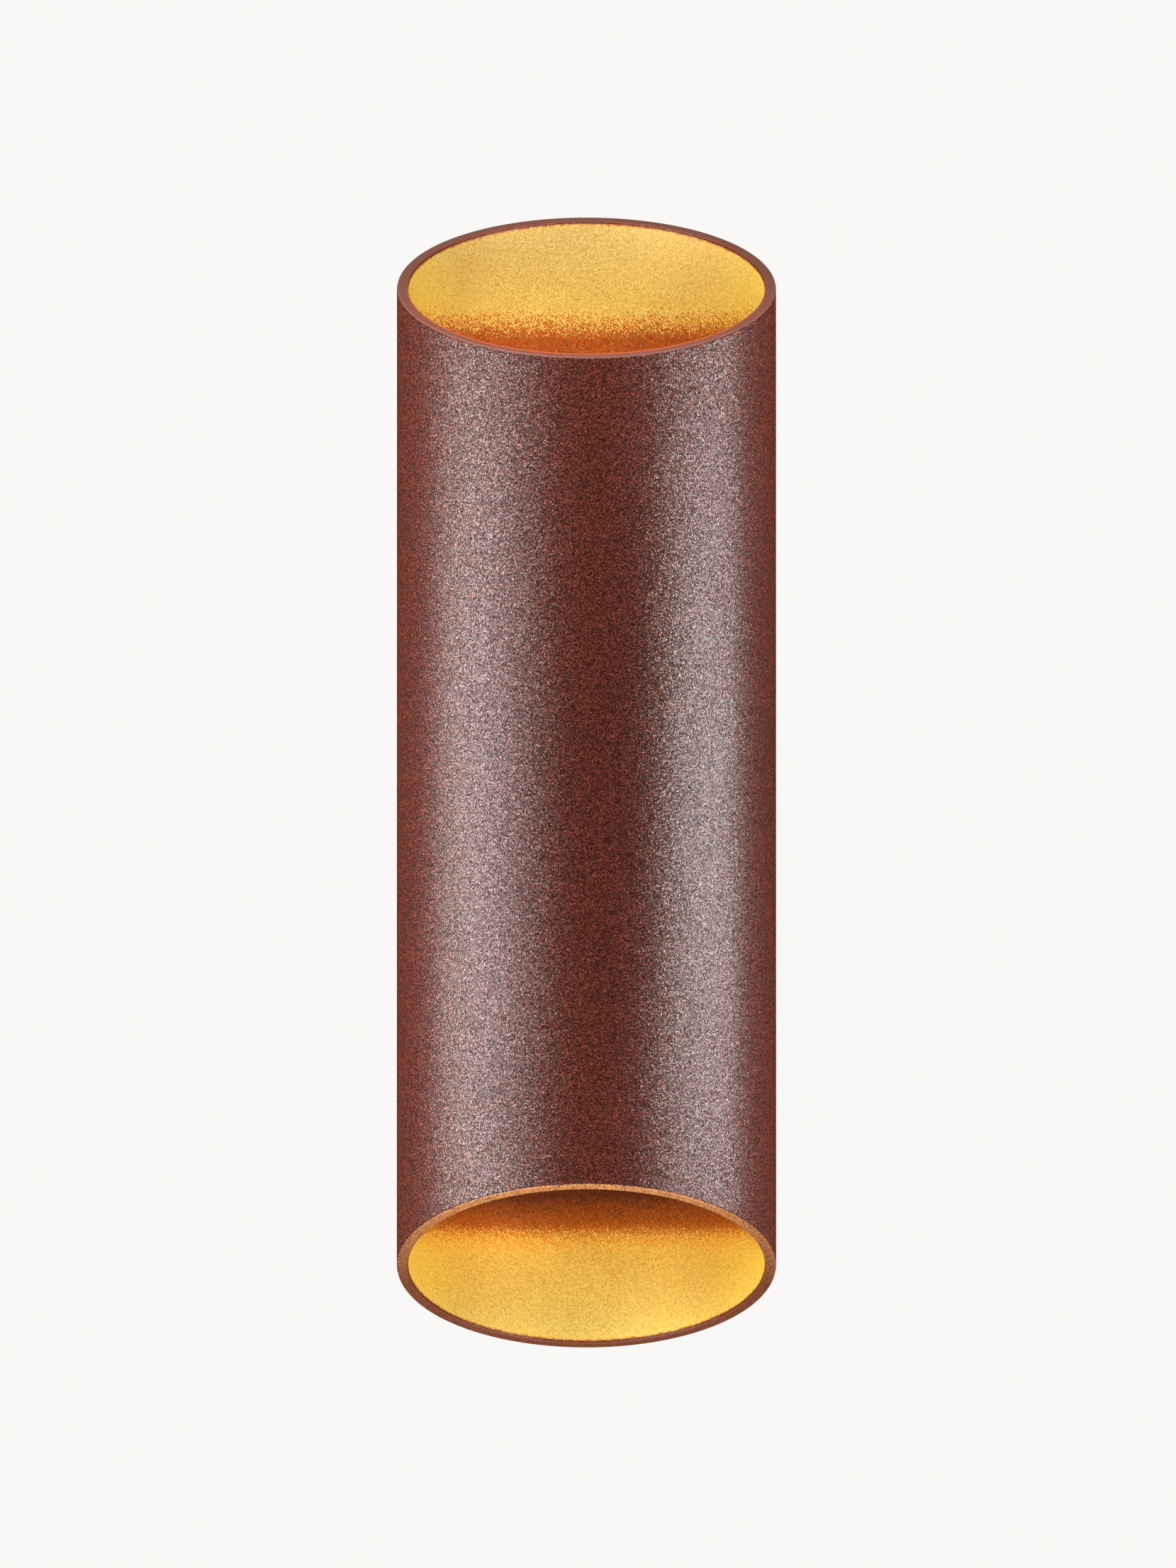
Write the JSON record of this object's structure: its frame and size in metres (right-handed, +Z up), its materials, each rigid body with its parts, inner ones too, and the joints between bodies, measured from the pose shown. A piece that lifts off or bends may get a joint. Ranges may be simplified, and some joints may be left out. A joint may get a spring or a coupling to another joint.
{
  "type": "outdoor wall lamp",
  "caption": "Outdoor wall lamp that shines up and down: a round tube with slant-cut mouths, lamp can inside, on a wiring box that hangs on a wall bracket.",
  "frame": {"origin": "on the wall, at the middle of the wall screws' pattern", "axes": "+Z up along the tube, +Y into the wall, +X to the right seen from the front"},
  "size_m": [0.1, 0.12, 0.3],
  "materials": {
    "rust_powder_coat": "fine sandy matt powder coat, rust brown",
    "gold_powder_coat": "fine glittering gold powder coat",
    "zinc_steel": "zinc plated steel sheet",
    "stainless": "plain stainless steel",
    "can_aluminium": "plain aluminium",
    "aluminium_spacer": "turned aluminium",
    "black_rubber": "matt black rubber",
    "foam": "closed-cell foam",
    "silicone": "translucent grey silicone",
    "clear_glass": "clear tempered glass",
    "steatite": "unglazed white steatite",
    "brass": "plain brass",
    "bulb_casting": "white thermal plastic",
    "bulb_lens": "frosted lens",
    "nickel_pins": "nickel plated pins",
    "terminal_plastic": "natural polyamide",
    "blue_insulation": "blue silicone insulation",
    "brown_insulation": "brown silicone insulation",
    "green_insulation": "green and yellow insulation"
  },
  "bodies": {
    "wall_plate": {"wall_bracket": "zinc_steel", "cable_grommet": "black_rubber"},
    "lamp_body": {"back_box": "rust_powder_coat", "bridge_screws": "stainless", "clinch_nuts": "zinc_steel", "earth_lead": "green_insulation", "earth_lug": "brass", "earth_screw": "stainless", "fixing_screws": "stainless", "holder_screws": "stainless", "housing_tube": "rust_powder_coat", "lamp_can": "can_aluminium", "live_leads": "brown_insulation", "lock_screw": "stainless", "lower_bezel": "gold_powder_coat", "lower_bridge": "zinc_steel", "lower_collar": "can_aluminium", "lower_contacts": "brass", "lower_gasket": "silicone", "lower_glass": "clear_glass", "lower_holder_cap": "steatite", "lower_lampholder": "steatite", "neutral_leads": "blue_insulation", "spacers": "aluminium_spacer", "terminal_block": "terminal_plastic", "terminal_fixing_screws": "stainless", "terminal_screws": "stainless", "upper_bezel": "gold_powder_coat", "upper_bridge": "zinc_steel", "upper_collar": "can_aluminium", "upper_contacts": "brass", "upper_gasket": "silicone", "upper_glass": "clear_glass", "upper_holder_cap": "steatite", "upper_lampholder": "steatite", "wall_seal": "foam", "wire_sleeve": "silicone"},
    "upper_bulb": {"upper_bulb_body": "bulb_casting", "upper_bulb_lens": "bulb_lens", "upper_bulb_pins": "nickel_pins"},
    "lower_bulb": {"lower_bulb_body": "bulb_casting", "lower_bulb_lens": "bulb_lens", "lower_bulb_pins": "nickel_pins"}
  },
  "joints": [
    {"name": "lamp_lift", "type": "slide", "parent": "wall_plate", "child": "lamp_body", "axis": [0, 0, 1], "range_m": [0, 0.008]},
    {"name": "upper_bulb_twist", "type": "hinge", "parent": "lamp_body", "child": "upper_bulb", "pos_m": [0, -0.07, 0.025], "axis": [0, 0, 1], "range_deg": [0, 20]},
    {"name": "lower_bulb_twist", "type": "hinge", "parent": "lamp_body", "child": "lower_bulb", "pos_m": [0, -0.07, -0.025], "axis": [0, 0, -1], "range_deg": [0, 20]}
  ]
}
